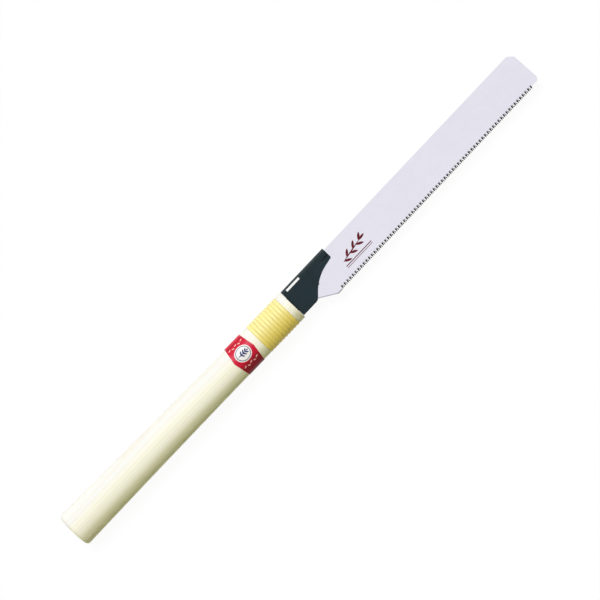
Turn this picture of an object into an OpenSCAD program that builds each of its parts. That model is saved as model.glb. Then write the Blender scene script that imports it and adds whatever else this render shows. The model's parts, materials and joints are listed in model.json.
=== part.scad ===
// Pull saw for bamboo: a parallel blade that hooks into a folded sheet-steel holder
// on an oval wooden handle, with a wound strip round the front of the handle.
//
// The saw lies on its side: X runs from the butt to the tip, Y from the teeth to the
// spine, Z up through the blade. Lengths are in millimetres, angles in degrees.

/* [Handle] */
// Length of the wooden shaft
handle_len = 273; // [240:1:310]
// Height of the oval at the front end, measured in the plane of the blade
handle_front_h = 30.2; // [28:0.2:34]
// Height of the oval at the butt
handle_butt_h = 34.6; // [32:0.2:38]
// Thickness of the oval as a share of its height
handle_flat = 0.82; // [0.76:0.01:0.9]
// Radius that rounds the edge of the butt
butt_round = 3.2; // [1:0.2:5]
// Bevel on the edge of the front face
front_bevel = 0.6; // [0.2:0.1:1.2]

/* [Grip wrap] */
// Bare wood between the front face and the first turn
wrap_start = 7; // [4:0.2:10]
// Strips of the winding that lie side by side on the upper face
wrap_turns = 10; // [8:1:12]
// Distance from one strip to the next
wrap_pitch = 3.5; // [3.5:0.05:4]
// Width of the strip
strip_w = 3; // [2.4:0.1:3.05]
// Thickness of the strip
strip_t = 1.4; // [1.2:0.1:1.8]
// Bevel along each edge of the strip
strip_bevel = 0.45; // [0.3:0.05:0.8]
// How far the strip stands above the wood
wrap_proud = 0.4; // [0.3:0.1:1]
// Depth of the flat under the winding, where the saw lies on it
wrap_flat = 0.5; // [0.3:0.1:0.7]

/* [Label] */
// Bare wood between the wrap and the label
label_gap = 6; // [3:0.1:10]
// Length of the label along the handle at its middle
label_len = 24; // [20:0.2:30]
// How far each edge slants back from the middle to the side of the handle
label_slant = 2.9; // [0:0.1:4]
// How far the label reaches round below the widest line of the handle
label_drop = 3; // [0:0.5:6]
// Thickness of the label
label_t = 0.2; // [0.15:0.05:0.4]

/* [Blade] */
// Toothed length
tooth_run = 240; // [200:5:265]
// Distance from one tooth to the next
tooth_pitch = 1.7; // [1.4:0.1:2.2]
// Depth of a tooth from its point to the bottom of the gullet
tooth_h = 2.8; // [2:0.1:3.2]
// Where the point of a tooth stands between its two gullets, from the handle side
tooth_lean = 0.25; // [0.15:0.05:0.35]
// How far each tooth is bent out of the plate
tooth_set = 0.15; // [0.05:0.05:0.25]
// Length of the bevel across the top of each tooth, along the blade
top_run = 0.95; // [0.6:0.05:1]
// Rise of that bevel from the point of the tooth
top_rise = 0.9; // [0.6:0.1:1.2]
// Thickness of the plate
plate_t = 0.6; // [0.5:0.1:0.9]
// Width of the blade from the spine to the points of the teeth
blade_w = 35.4; // [32:0.2:38]
// Plain edge between the heel and the first tooth
heel_plain = 5.6; // [4:0.2:8]
// Plain edge between the last tooth and the tip
tip_plain = 9.3; // [6:0.1:12]
// Slope of the heel up to the holder
heel_angle = 33; // [28:1:38]
// Distance from the back of the holder to where the heel comes out below it
heel_back = 20.6; // [18:0.1:22]
// Radius that rounds the corner of the heel
heel_round = 1; // [0.4:0.1:2]
// Angle by which the end of the blade leans forward towards the teeth
tip_lean = 1.8; // [0:0.2:5]
// Cut across the spine corner of the tip
tip_cut = 4.8; // [3:0.2:6]
// Radius that rounds the corners of that cut
tip_round = 2.4; // [1:0.2:3]
// How far the plain edge at the tip stays above the points of the teeth
toe_trim = 1.6; // [0.8:0.1:2]
// Radius that rounds the corner between that edge and the end of the blade
toe_round = 3.6; // [2:0.1:5]

/* [Holder] */
// Thickness of the folded sheet
sheet_t = 1.2; // [1:0.1:1.5]
// Length of the holder in front of the handle
holder_len = 52.7; // [48:0.1:58]
// Height of the holder at the handle
holder_rear_h = 28.4; // [26:0.2:30]
// How far the middle of that height stands above the handle's centre line
holder_lift = 0.8; // [0:0.1:1.5]
// Height of the holder at its front edge
holder_front_h = 10.8; // [9:0.1:12]
// Length of the straight lower edge
holder_foot = 17.7; // [15:0.1:19]
// Radius of the corner in front of that edge
foot_round = 5; // [2:0.5:7]
// Slope of the lower edge behind its bend
holder_rise = 44; // [40:1:48]
// Slope of the lower edge in front of its bend
holder_nose = 10.5; // [8:0.5:16]
// Radius of the bend in the lower edge
holder_bend = 42; // [30:1:52]
// Radius of the lower corner at the front edge
nose_round = 1.6; // [0.8:0.1:2.4]
// Radius of the lower corner at the handle
back_round = 0.6; // [0.2:0.1:2]
// Length of the window through the cheeks
window_len = 15.6; // [12:0.2:18]
// Height of the window
window_h = 2; // [1.6:0.1:2.4]
// Distance from the top of the holder to the window
window_drop = 1.9; // [1.8:0.1:2.4]
// Distance from the back of the holder to the window
window_back = 4.8; // [3:0.1:7]
// Length of the pressed groove at the front of each cheek
groove_len = 12.4; // [8:0.2:16]
// Depth of that groove at the front edge
groove_depth = 0.8; // [0.5:0.05:0.9]
// Radius of the groove's round bottom
groove_r = 1.2; // [1:0.1:1.6]
// Distance from the top of the holder to the groove
groove_drop = 7.5; // [6.5:0.1:8]
// Radius of the small pip on the lower edge of each cheek
pip_r = 1.1; // [0.8:0.1:1.6]
// Distance from the back of the holder to the pip
pip_back = 28.3; // [25:0.1:30]
// How far the pip stands out of that edge
pip_proud = 0.5; // [0.3:0.1:0.8]

/* [Hook] */
// Diameter of the pin that the blade hooks on
hook_pin_d = 3; // [2.4:0.1:3.4]
// Distance from the back of the holder to the pin
hook_back = 6.5; // [6:0.1:9]
// Distance from the spine of the blade down to the pin
hook_depth = 4.6; // [4.2:0.1:5]
// Angle of the hook's mouth below the line of the handle
hook_mouth = 30; // [25:1:35]
// Distance from the pin forward to the lower corner of the tang
tang_reach = 6.4; // [6:0.2:9]
// Radius of that corner
tang_round = 2; // [1:0.5:3]

/* [Tang] */
// Length of the two tails of the holder inside the handle
tail_len = 86; // [70:1:110]
// Height of a tail where it enters the handle
tail_h = 15; // [12:0.5:17]
// Height of a tail at its end
tail_end_h = 9; // [7:0.5:11]
// Radius of the corners at the end of a tail
tail_round = 2; // [1:0.5:3]
// Diameter of the pin through the handle and the tails
tang_pin_d = 3; // [2:0.2:4]
// How far each end of that pin stays below the seat of the wrap
pin_sink = 0.4; // [0.2:0.1:1]
// Diameter of the rivets that close the tails on the liner
rivet_d = 4; // [3:0.2:5]
// Distance from the end of a tail to the first rivet
rivet_end = 10; // [8:1:14]
// Distance between the two rivets
rivet_pitch = 24; // [16:1:28]

/* [Fits] */
// Angle at which the holder is set up from the line of the handle
cant = 0.7; // [0:0.1:1.5]
// Gap on each side of the plate in the holder
plate_fit = 0.1; // [0.06:0.02:0.2]
// Gap between the spine and the start of the fold
spine_fit = 0.3; // [0.2:0.1:0.6]
// Gap round the pins in their holes
pin_fit = 0.05; // [0.03:0.01:0.08]
// Gap between the tails and the slot in the handle
slot_fit = 0.1; // [0.05:0.05:0.3]
// Gap between the wood and what is wound or stuck on it
skin_fit = 0.2; // [0.18:0.01:0.3]
// Gap between the holder and the front face of the handle
standoff = 0.2; // [0.1:0.1:1]

/* [Hidden] */
$fn = 64;
// Points on each rounded corner
corner_steps = 8;
// Stretches of the handle's curved outline, and of the label's
handle_steps = 12;
label_steps = 4;
// Rings in one turn of the wrap, and the sides of its strip
turn_rings = 24;
strip_sides = 6;
// Share of a turn that the strip stays square below each side of the handle
square_side = 1 / 18;
// Overlap that joins two solids into one, and reach of a cut past a face
lap = 1;

// Handle
function handle_r(back) =
    handle_front_h / 2 + (handle_butt_h - handle_front_h) / 2 * pow(back / handle_len, 2);
wrap_len = wrap_turns * wrap_pitch;
wrap_end = wrap_start + wrap_len;
recess = strip_t + skin_fit - wrap_proud;
wrap_low = (handle_r(wrap_end) - recess) * handle_flat + skin_fit + strip_t;

// Label
label_mid = wrap_end + label_gap + label_len / 2;

// Holder, in its own axes: x from its back edge, y from the handle's centre line.
// The back edge lies along the front face of the handle, so the cant tips it in these axes
function back_edge(y) = y * tan(cant);
sheet_gap = plate_t + 2 * plate_fit;
fold_r = sheet_gap / 2 + sheet_t;
holder_top = holder_rear_h / 2 + holder_lift;
holder_low = holder_top - holder_rear_h;
fold_y = holder_top - fold_r;
holder_t = sheet_gap + 2 * sheet_t;

// Blade, in the axes of the holder
spine_y = fold_y - spine_fit;
point_y = spine_y - blade_w;
root_y = point_y + tooth_h;
hook = [hook_back, spine_y - hook_depth];
hook_hole_r = hook_pin_d / 2 + pin_fit;
tooth_count = floor(tooth_run / tooth_pitch);
heel_x = heel_back + (holder_low - point_y) / tan(heel_angle);
first_tooth_x = heel_x + heel_plain;
last_tooth_x = first_tooth_x + tooth_count * tooth_pitch;
tip_x = last_tooth_x + tip_plain;
tip_top_x = tip_x - blade_w * tan(tip_lean);
toe_x = tip_x - toe_trim * tan(tip_lean);
toe_y = point_y + toe_trim;
toe_centre = [toe_x - toe_round * (tan(tip_lean) + 1 / cos(tip_lean)), toe_y + toe_round];
tang_x = hook[0] + tang_reach;
tang_y = point_y + (heel_x - tang_x) * tan(heel_angle);

// Tang
tang_pin_x = -(wrap_start + wrap_len / 2);
rivet_x = [for (i = [0, 1]) -tail_len + rivet_end + i * rivet_pitch];

// Place of the saw: its box stands centred on the origin, with the butt on the floor
function canted(p) = [
    standoff + p[0] * cos(cant) - p[1] * sin(cant),
    p[0] * sin(cant) + p[1] * cos(cant)
];
butt_r = handle_r(handle_len - butt_round);
outline_x = [-handle_len, canted(toe_centre)[0] + toe_round];
outline_y = [
    min(-butt_r, canted([heel_x, point_y])[1]),
    max(butt_r, canted([holder_len, holder_top])[1], canted([tip_top_x - tip_cut, spine_y])[1])
];
saw_shift = [-(outline_x[0] + outline_x[1]) / 2, -(outline_y[0] + outline_y[1]) / 2, butt_r * handle_flat];

// The arc that rounds the corner b, with its radius in b[2], between the corners a and c
function corner(a, b, c) =
    b[2] == 0 ? [[b[0], b[1]]] :
    let (
        at = [b[0], b[1]],
        u = ([a[0], a[1]] - at) / norm([a[0], a[1]] - at),
        w = ([c[0], c[1]] - at) / norm([c[0], c[1]] - at),
        half = acos(u * w) / 2,
        centre = at + (u + w) / norm(u + w) * b[2] / sin(half),
        from = at + u * b[2] / tan(half) - centre,
        to = at + w * b[2] / tan(half) - centre,
        start = atan2(from[1], from[0]),
        turn = atan2(from[0] * to[1] - from[1] * to[0], from * to)
    )
    [for (k = [0 : corner_steps])
        centre + b[2] * [cos(start + turn * k / corner_steps), sin(start + turn * k / corner_steps)]];

// A closed outline through the corners [x, y, radius]
function rounded(path) = [
    for (i = [0 : len(path) - 1])
        each corner(path[(i + len(path) - 1) % len(path)], path[i], path[(i + 1) % len(path)])
];

module place_saw() { translate(saw_shift) children(); }

// Moves a shape from the axes of the holder to its place on the handle
module place_on_handle() { place_saw() translate([standoff, 0, 0]) rotate(cant) children(); }

// Lays a turned shape along the handle, its foot on the front face, and flattens it to an oval
module oval() { scale([1, 1, handle_flat]) rotate([0, -90, 0]) children(); }

// Outline of the shaft, as [radius, distance behind the front face], with the seat of the wrap in it
function shaft_profile() = concat(
    [[0, 0], [handle_r(0) - front_bevel, 0], [handle_r(0), front_bevel]],
    [[handle_r(wrap_start), wrap_start], [handle_r(wrap_start) - recess, wrap_start]],
    [[handle_r(wrap_end) - recess, wrap_end], [handle_r(wrap_end), wrap_end]],
    [for (k = [1 : handle_steps])
        let (back = wrap_end + (handle_len - butt_round - wrap_end) * k / handle_steps)
        [handle_r(back), back]],
    [for (k = [1 : corner_steps])
        let (a = 90 * k / corner_steps)
        [butt_r - butt_round * (1 - cos(a)), handle_len - butt_round * (1 - sin(a))]],
    [[butt_r - butt_round, handle_len + lap], [0, handle_len + lap]]
);

module handle() {
    color("Cornsilk") difference() {
        place_saw() intersection() {
            for (quarter = [0 : 90 : 270])
                oval() rotate(quarter) rotate_extrude(angle = 90) polygon(shaft_profile());
            translate([-handle_len, -handle_butt_h, -handle_butt_h])
                cube([handle_len + lap, 2 * handle_butt_h, 2 * handle_butt_h]);
        }
        place_on_handle() linear_extrude(holder_t + 2 * slot_fit, center = true)
            tail_outline(slot_fit);
        place_on_handle() translate([tang_pin_x, 0, 0])
            cylinder(d = tang_pin_d + 2 * pin_fit, h = 2 * handle_butt_h, center = true);
    }
}

// The strip lies square to the handle over the upper face and a little round both sides, and steps
// to its next place underneath: how many places it has moved back after a number of turns
function wrap_step(turns) =
    let (
        under = (turns - floor(turns) - 0.5 - square_side) / (0.5 - 2 * square_side),
        part = min(max(under, 0), 1)
    )
    floor(turns) + part * part * (3 - 2 * part);

// Centre of the strip after a number of turns from the spine side, and the way out of the wood there
function wrap_centre(turns) =
    let (
        back = wrap_start + wrap_pitch * (wrap_step(turns) + 0.5),
        r = handle_r(back) - recess,
        out = skin_fit + strip_t / 2,
        a = 360 * turns
    )
    [-back, (r + out) * cos(a), (r * handle_flat + out) * sin(a)];
function wrap_out(turns) =
    let (a = 360 * turns, d = [0, cos(a) * handle_flat, sin(a)]) d / norm(d);

// The six corners of the strip's section: a flat band with bevelled edges
function strip_ring(centre, out) =
    let (edge = strip_w / 2, face = edge - strip_bevel)
    [for (c = [[-edge, 0], [-face, 1], [face, 1], [edge, 0], [face, -1], [-face, -1]])
        centre + [c[0], 0, 0] + out * c[1] * strip_t / 2];

// Rings of the strip from just under one side to just under the other:
// each end runs straight on for one strip width
function wrap_rings() =
    let (
        step = 1 / turn_rings,
        from = -step / 2,
        to = wrap_turns - 0.5 + step / 2,
        head = wrap_centre(from) - wrap_centre(from + step),
        tail = wrap_centre(to) - wrap_centre(to - step)
    )
    concat(
        [strip_ring(wrap_centre(from) + head / norm(head) * strip_w, wrap_out(from))],
        [for (i = [0 : round((to - from) / step)])
            strip_ring(wrap_centre(from + i * step), wrap_out(from + i * step))],
        [strip_ring(wrap_centre(to) + tail / norm(tail) * strip_w, wrap_out(to))]
    );

// Least distance between the points of one turn and the points of the next
function wrap_least_gap(rings) = min([
    for (i = [1 : len(rings) - 2 - turn_rings], p = rings[i], q = rings[i + turn_rings]) norm(p - q)
]);

module grip_wrap() {
    rings = wrap_rings();
    last = (len(rings) - 1) * strip_sides;
    echo("least gap between turns of the wrap", wrap_least_gap(rings));
    color("Khaki") place_saw() difference() {
        polyhedron(
            points = [for (r = rings, p = r) p],
            faces = concat(
                [[for (s = [0 : strip_sides - 1]) s]],
                [for (i = [0 : len(rings) - 2], s = [0 : strip_sides - 1])
                    let (a = i * strip_sides + s, b = i * strip_sides + (s + 1) % strip_sides)
                    each [[a, a + strip_sides, b], [b, a + strip_sides, b + strip_sides]]],
                [[for (s = [strip_sides - 1 : -1 : 0]) last + s]]
            )
        );
        translate([-wrap_end - lap, -handle_butt_h, -wrap_low - lap])
            cube([wrap_len + 2 * lap, 2 * handle_butt_h, wrap_flat + lap]);
    }
}

// A thin skin on the wood, cut to a six-sided label
module label() {
    half = label_len / 2;
    back = [for (k = [0 : label_steps]) label_mid + (half + lap) * (2 * k / label_steps - 1)];
    skin = concat(
        [for (b = back) [handle_r(b) + skin_fit, b]],
        [for (k = [label_steps : -1 : 0]) [handle_r(back[k]) + skin_fit + label_t, back[k]]]
    );
    side = handle_r(label_mid) + skin_fit + label_t;
    reach = side + lap;
    slant = label_slant * reach / side;
    color("Crimson") place_saw() intersection() {
        oval() rotate_extrude() polygon(skin);
        translate([-label_mid, 0, -label_drop]) linear_extrude(handle_butt_h) polygon([
            [half, 0], [half - slant, reach], [slant - half, reach],
            [-half, 0], [slant - half, -reach], [half - slant, -reach]
        ]);
    }
}

// A tail of the holder, tapering into the handle, with room round it where it is cut into the wood
module tail_outline(room = 0) {
    polygon(rounded([
        [lap, tail_h / 2 + room, 0],
        [-tail_len - room, tail_end_h / 2 + room, tail_round],
        [-tail_len - room, -tail_end_h / 2 - room, tail_round],
        [lap, -tail_h / 2 - room, 0]
    ]));
}

// One cheek of the holder below its fold
module cheek_outline() {
    front_low = holder_top - holder_front_h;
    // Where the steep and the gentle slopes of the lower edge meet
    rise = tan(holder_rise);
    nose = tan(holder_nose);
    bend_x = (front_low - holder_low - holder_len * nose + holder_foot * rise) / (rise - nose);
    bend_y = holder_low + (bend_x - holder_foot) * rise;
    // The circle of the bend between them, and where the pip stands on it
    mean_slope = (holder_rise + holder_nose) / 2;
    half_turn = (holder_rise - holder_nose) / 2;
    bend_centre = [bend_x, bend_y] + holder_bend / cos(half_turn) * [sin(mean_slope), -cos(mean_slope)];
    pip_turn = acos((pip_back - bend_centre[0]) / holder_bend);
    pip_reach = holder_bend + pip_r - pip_proud;
    difference() {
        union() {
            polygon(rounded([
                [back_edge(fold_y), fold_y, 0], [back_edge(holder_low), holder_low, back_round],
                [holder_foot, holder_low, foot_round], [bend_x, bend_y, holder_bend],
                [holder_len, front_low, nose_round], [holder_len, fold_y, 0]
            ]));
            translate(bend_centre + pip_reach * [cos(pip_turn), sin(pip_turn)]) circle(pip_r);
            tail_outline();
        }
        translate([window_back, holder_top - window_drop - window_h]) square([window_len, window_h]);
        translate(hook) circle(d = hook_pin_d + 2 * pin_fit);
        translate([tang_pin_x, 0]) circle(d = tang_pin_d + 2 * pin_fit);
        for (x = rivet_x) translate([x, 0]) circle(d = rivet_d + 2 * pin_fit);
    }
}

// A sheet folded over the spine of the blade, with two tails that go into the handle
module holder() {
    color("DarkSlateGray") place_on_handle() difference() {
        union() {
            for (side = [-1, 1])
                translate([0, 0, side * (sheet_gap + sheet_t) / 2])
                    linear_extrude(sheet_t, center = true) cheek_outline();
            translate([back_edge(holder_top), fold_y, 0])
                rotate([90, 0, 90]) linear_extrude(holder_len - back_edge(holder_top)) difference() {
                    circle(fold_r);
                    circle(sheet_gap / 2);
                    translate([-2 * fold_r, -fold_r]) square(2 * fold_r);
                }
        }
        for (side = [0, 180]) rotate([side, 0, 0]) pressed_groove(side == 0 ? 1 : -1);
    }
}

// A rod sunk into the cheek at the front edge, that runs out to nothing behind
module pressed_groove(up) {
    slope = atan(groove_depth / groove_len);
    translate([holder_len, up * (holder_top - groove_drop), holder_t / 2 - groove_depth + groove_r])
        rotate([0, -90 + slope, 0])
            translate([0, 0, -lap]) cylinder(r = groove_r, h = groove_len * 1.5 + lap);
}

// A strip that keeps the two tails apart by the thickness of the slot
module tang_liner() {
    color("Silver") place_on_handle() linear_extrude(sheet_gap, center = true) difference() {
        intersection() {
            tail_outline();
            translate([-tail_len - lap, -tail_h]) square([tail_len + lap - standoff, 2 * tail_h]);
        }
        translate([tang_pin_x, 0]) circle(d = tang_pin_d + 2 * pin_fit);
        for (x = rivet_x) translate([x, 0]) circle(d = rivet_d + 2 * pin_fit);
    }
}

module tang_rivets() {
    color("Gray") place_on_handle() for (x = rivet_x)
        translate([x, 0, 0]) cylinder(d = rivet_d, h = holder_t, center = true);
}

module tang_pin() {
    seat = (handle_r(-tang_pin_x) - recess) * handle_flat;
    color("Gray") place_on_handle() translate([tang_pin_x, 0, 0])
        cylinder(d = tang_pin_d, h = 2 * (seat - pin_sink), center = true);
}

module hook_pin() {
    color("Gray") place_on_handle() translate(hook)
        cylinder(d = hook_pin_d, h = holder_t, center = true);
}

// The plate with its tang and the hook that seats on the pin
module plate_outline() {
    cut = tip_cut * (1 - tan(tip_lean));
    difference() {
        union() {
            translate(hook) circle(hook_depth);
            polygon(rounded([
                [hook[0], spine_y, 0],
                [tip_top_x - tip_cut, spine_y, tip_round],
                [tip_top_x + tip_cut * tan(tip_lean), spine_y - cut, tip_round],
                [toe_x, toe_y, toe_round],
                [last_tooth_x, toe_y, 0],
                [last_tooth_x, root_y, 0],
                [first_tooth_x, root_y, 0],
                [first_tooth_x, point_y, 0],
                [heel_x, point_y, heel_round],
                [tang_x, tang_y, tang_round],
                [hook[0], hook[1] - hook_depth, 0]
            ]));
        }
        translate(hook) circle(hook_hole_r);
        translate(hook) rotate(180 + hook_mouth) translate([0, -hook_hole_r])
            square([hook_depth + lap, 2 * hook_hole_r]);
    }
}

// The teeth on a strip of the plate: each is bent to one side, and filed to a point on that side,
// with a steep flank towards the handle, a bevel across its top and a narrow gullet behind it
module tooth_rack() {
    half = plate_t / 2;
    top = root_y + lap;
    count = tooth_count;
    gullets = [for (i = [0 : count]) first_tooth_x + i * tooth_pitch];
    // Points on the outer face of a tooth lie on the plane that its set gives it
    function on_face(x, up, side) = [x, point_y + up, side * (half + tooth_set * (1 - up / tooth_h))];
    function side_of(i) = i % 2 == 0 ? 1 : -1;
    function tooth_points(i) =
        let (x = gullets[i] + tooth_pitch * tooth_lean)
        [on_face(x, 0, side_of(i)),
         on_face(x + top_run, top_rise, side_of(i))];
    points = concat(
        [for (x = gullets) [x, root_y, half]],
        [for (x = gullets) [x, root_y, -half]],
        [for (i = [0 : count - 1]) each tooth_points(i)],
        [[gullets[0], top, half], [gullets[count], top, half],
         [gullets[0], top, -half], [gullets[count], top, -half]]
    );
    lower = count + 1;
    tips = 2 * lower;
    strip = tips + 2 * count;
    // Faces of one tooth: outer face, inner face, front flank, back flank
    function tooth_faces(i) =
        let (
            out = side_of(i) > 0 ? 0 : lower,
            inn = side_of(i) > 0 ? lower : 0,
            a = out + i, b = out + i + 1, c = inn + i, d = inn + i + 1,
            t = tips + 2 * i, u = t + 1,
            faces = [[a, b, t], [b, u, t], [c, t, u], [c, u, d], [a, t, c], [b, d, u]]
        )
        side_of(i) > 0 ? faces : [for (f = faces) [f[0], f[2], f[1]]];
    polyhedron(points, concat(
        [concat([strip], [for (i = [count : -1 : 0]) i])],
        [[strip, strip + 1, count]],
        [concat([strip + 2], [for (i = [0 : count]) lower + i])],
        [[strip + 2, lower + count, strip + 3]],
        [[strip, strip + 2, strip + 3], [strip, strip + 3, strip + 1]],
        [[strip, 0, lower], [strip, lower, strip + 2]],
        [[strip + 1, strip + 3, lower + count], [strip + 1, lower + count, count]],
        [for (i = [0 : count - 1]) each tooth_faces(i)]
    ));
}

module blade() {
    color("Lavender") place_on_handle() {
        linear_extrude(plate_t, center = true) plate_outline();
        tooth_rack();
    }
}

handle();
grip_wrap();
label();
holder();
tang_liner();
tang_rivets();
tang_pin();
hook_pin();
blade();
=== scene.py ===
# %% [markdown]
# A pull saw for bamboo lies flat on a white floor and is seen from straight above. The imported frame
# holds its solids, its sizes and the hinge of its blade. This notebook gives every solid its surface.
# A solid that is already right keeps its mesh and gets a material. One that needs rounder edges or a
# finer form is worked out again as a numpy surface on the same dimensions, and stands in for it.

# %% Load the frame
import json
import math

import bpy
import numpy as np
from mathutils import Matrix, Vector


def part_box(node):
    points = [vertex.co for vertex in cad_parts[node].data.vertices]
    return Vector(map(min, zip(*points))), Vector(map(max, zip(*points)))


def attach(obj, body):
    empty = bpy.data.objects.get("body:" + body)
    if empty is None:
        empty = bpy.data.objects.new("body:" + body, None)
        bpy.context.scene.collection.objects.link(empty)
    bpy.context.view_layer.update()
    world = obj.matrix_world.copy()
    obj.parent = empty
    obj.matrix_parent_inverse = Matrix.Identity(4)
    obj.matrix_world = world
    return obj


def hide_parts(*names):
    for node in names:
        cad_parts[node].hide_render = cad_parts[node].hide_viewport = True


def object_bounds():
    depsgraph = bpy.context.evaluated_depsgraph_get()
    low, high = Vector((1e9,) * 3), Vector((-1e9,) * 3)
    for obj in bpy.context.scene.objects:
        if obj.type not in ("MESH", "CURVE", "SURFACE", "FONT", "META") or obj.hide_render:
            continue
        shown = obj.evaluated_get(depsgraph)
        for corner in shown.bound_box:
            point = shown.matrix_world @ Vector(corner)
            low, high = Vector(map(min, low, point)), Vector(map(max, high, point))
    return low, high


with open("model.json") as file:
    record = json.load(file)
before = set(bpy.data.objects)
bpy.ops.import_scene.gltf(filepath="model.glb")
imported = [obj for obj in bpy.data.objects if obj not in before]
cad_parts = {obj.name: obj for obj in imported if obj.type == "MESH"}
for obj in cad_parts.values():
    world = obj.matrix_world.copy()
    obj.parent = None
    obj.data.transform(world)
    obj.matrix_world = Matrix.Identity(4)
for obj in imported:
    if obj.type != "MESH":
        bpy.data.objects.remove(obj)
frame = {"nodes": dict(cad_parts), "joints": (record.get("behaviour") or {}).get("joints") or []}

cad_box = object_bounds()
MM = 0.001
print("frame:", sorted(frame["nodes"]), "box", [[round(c, 4) for c in corner] for corner in cad_box])

# %% [markdown]
# Every new piece is a grid of points: rows and columns worked out as whole arrays. A few small helpers
# turn such arrays into meshes: they number the cells of a grid, close a tube at both ends or two skins
# into a thick sheet, and make the object. A closed shell has a positive volume when its faces point
# outwards, so the sign of the volume tells which way round the corners have to be listed.

# %% Grids into meshes
def circle(columns):
    """Angles once round in even steps."""
    return np.linspace(0, 2 * np.pi, columns, endpoint=False)


def stack(*parts):
    """Arrays set side by side as the parts of points, each stretched to the shape that they share."""
    return np.stack(np.broadcast_arrays(*parts), -1)


def heading(angle):
    """One step in the direction of an angle: its cosine and its sine."""
    return stack(np.cos(angle), np.sin(angle))


def node_box(name):
    """Lowest and highest corner of a node, in metres."""
    return [np.array(corner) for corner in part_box(name)]


def grid_cells(rows, cols, closed):
    """Corner numbers of a grid's cells, row by row; closed joins the last column to the first."""
    row = np.arange(rows - 1)[:, None] * cols
    here = np.arange(cols if closed else cols - 1)[None, :]
    after = (here + 1) % cols
    return stack(row + here, row + after, row + cols + after, row + cols + here).reshape(-1, 4)


def capped_tube(rings):
    """Points and faces of rings joined in order, each end closed by a fan round the middle of its ring."""
    rows, cols = rings.shape[:2]
    points = np.concatenate([rings.reshape(-1, 3), rings[[0, -1]].mean(axis=1)])
    here = np.arange(cols)
    after = (here + 1) % cols
    last = (rows - 1) * cols
    pole = np.full(cols, rows * cols)
    first_fan = stack(after, here, pole)
    last_fan = stack(last + here, last + after, pole + 1)
    return points, [grid_cells(rows, cols, True), np.concatenate([first_fan, last_fan])]


def thick_sheet(outer, inner, keep):
    """Points and faces of two skins over one grid, walled along every edge of the cells kept; also the grid
    number of each point. A cell's side is an edge when no other cell has it the other way round."""
    rows, cols = outer.shape[:2]
    count = rows * cols
    cells = grid_cells(rows, cols, False)[keep.ravel()]
    sides = np.concatenate([cells[:, [k, (k + 1) % 4]] for k in range(4)])
    edges = sides[~np.isin(sides[:, 1] * count + sides[:, 0], sides[:, 0] * count + sides[:, 1])]
    walls = stack(edges[:, 1], edges[:, 0], edges[:, 0] + count, edges[:, 1] + count)
    faces = np.concatenate([cells, cells[:, ::-1] + count, walls])
    used, renumbered = np.unique(faces, return_inverse=True)
    points = np.concatenate([outer.reshape(-1, 3), inner.reshape(-1, 3)])[used]
    return points, [renumbered.reshape(faces.shape)], used % count


def shell_volume(points, faces):
    """Volume of a closed shell: a sixth of the triple product of each triangle's corners, added up."""
    total = 0.0
    for part in faces:
        for k in range(1, part.shape[1] - 1):
            a, b, c = points[part[:, 0]], points[part[:, k]], points[part[:, k + 1]]
            total += np.einsum("ij,ij->i", a, np.cross(b, c)).sum() / 6
    return total


def make_piece(name, node, slot, material, points, faces, kept=None, kept_as="", sharp_deg=35):
    """A piece at the origin that rides on the handle's body and stands for a node. Three values for each
    point can be kept on it under a name."""
    volume = shell_volume(points, faces)
    corners = [face if volume > 0 else face[::-1] for part in faces for face in part.tolist()]
    mesh = bpy.data.meshes.new(name)
    mesh.from_pydata(points.tolist(), [], corners)
    mesh.shade_smooth()
    mesh.set_sharp_from_angle(angle=math.radians(sharp_deg))
    if kept is not None:
        values = mesh.attributes.new(kept_as, "FLOAT_VECTOR", "POINT").data
        values.foreach_set("vector", kept.astype(np.float32).ravel())
    mesh.materials.append(material)
    piece = bpy.data.objects.new(name, mesh)
    bpy.context.scene.collection.objects.link(piece)
    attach(piece, "handle_body")
    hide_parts(node)
    print(f"{name}: {len(points)} points, {len(corners)} faces, {abs(volume) / MM ** 3:.0f} mm3")


# %% [markdown]
# Materials are node trees. A few helpers write them, so that each finish below reads like a recipe:
# add a node, do a sum, stretch a range, lay one colour over another. An input is either a plain value or
# the output of another node, and a new node goes into the tree that its inputs come from.

# %% Nodes and sums
def is_output(value):
    """Whether a value is the output of a node."""
    return isinstance(value, bpy.types.NodeSocket)


def set_inputs(node, inputs):
    """Each input named is set to a value, or linked to the output of another node."""
    for key, value in inputs.items():
        if is_output(value):
            node.id_data.links.new(value, node.inputs[key])
        else:
            node.inputs[key].default_value = value


def add_node(kind, inputs, tree=None, **settings):
    """The outputs of a new node, in the tree given or in the one that its inputs come from."""
    made = (tree or next(filter(is_output, inputs.values())).id_data).nodes.new(kind)
    for key, value in settings.items():
        setattr(made, key, value)
    set_inputs(made, inputs)
    return made.outputs


def add_sum(operation, *terms, clamp=False):
    """The result of a Math node on these terms."""
    return add_node("ShaderNodeMath", dict(enumerate(terms)), operation=operation, use_clamp=clamp)[0]


def times(value, other):
    """Two values multiplied."""
    return add_sum("MULTIPLY", value, other)


def add_ramp(value, low, high, to_low=0.0, to_high=1.0):
    """A value taken smoothly from the range low to high to another range, and held at its ends."""
    inputs = {"Value": value, "From Min": low, "From Max": high, "To Min": to_low, "To Max": to_high}
    return add_node("ShaderNodeMapRange", inputs, interpolation_type="SMOOTHSTEP")["Result"]


def add_mix(factor, under, over):
    """Two colours mixed by a factor; a plain colour is given as its three parts."""
    under, over = (c if is_output(c) else (*c, 1.0) for c in (under, over))
    return add_node("ShaderNodeMix", {"Factor": factor, 6: under, 7: over}, data_type="RGBA")[2]


def add_layers(colour, *layers):
    """A colour with others laid over it in turn, each given as (how much of it, its colour)."""
    for factor, over in layers:
        colour = add_mix(factor, colour, over)
    return colour


def add_vector(operation, *terms):
    """The results of a Vector Math node on these terms: first the vector, then the value."""
    return add_node("ShaderNodeVectorMath", dict(enumerate(terms)), operation=operation)


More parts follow.
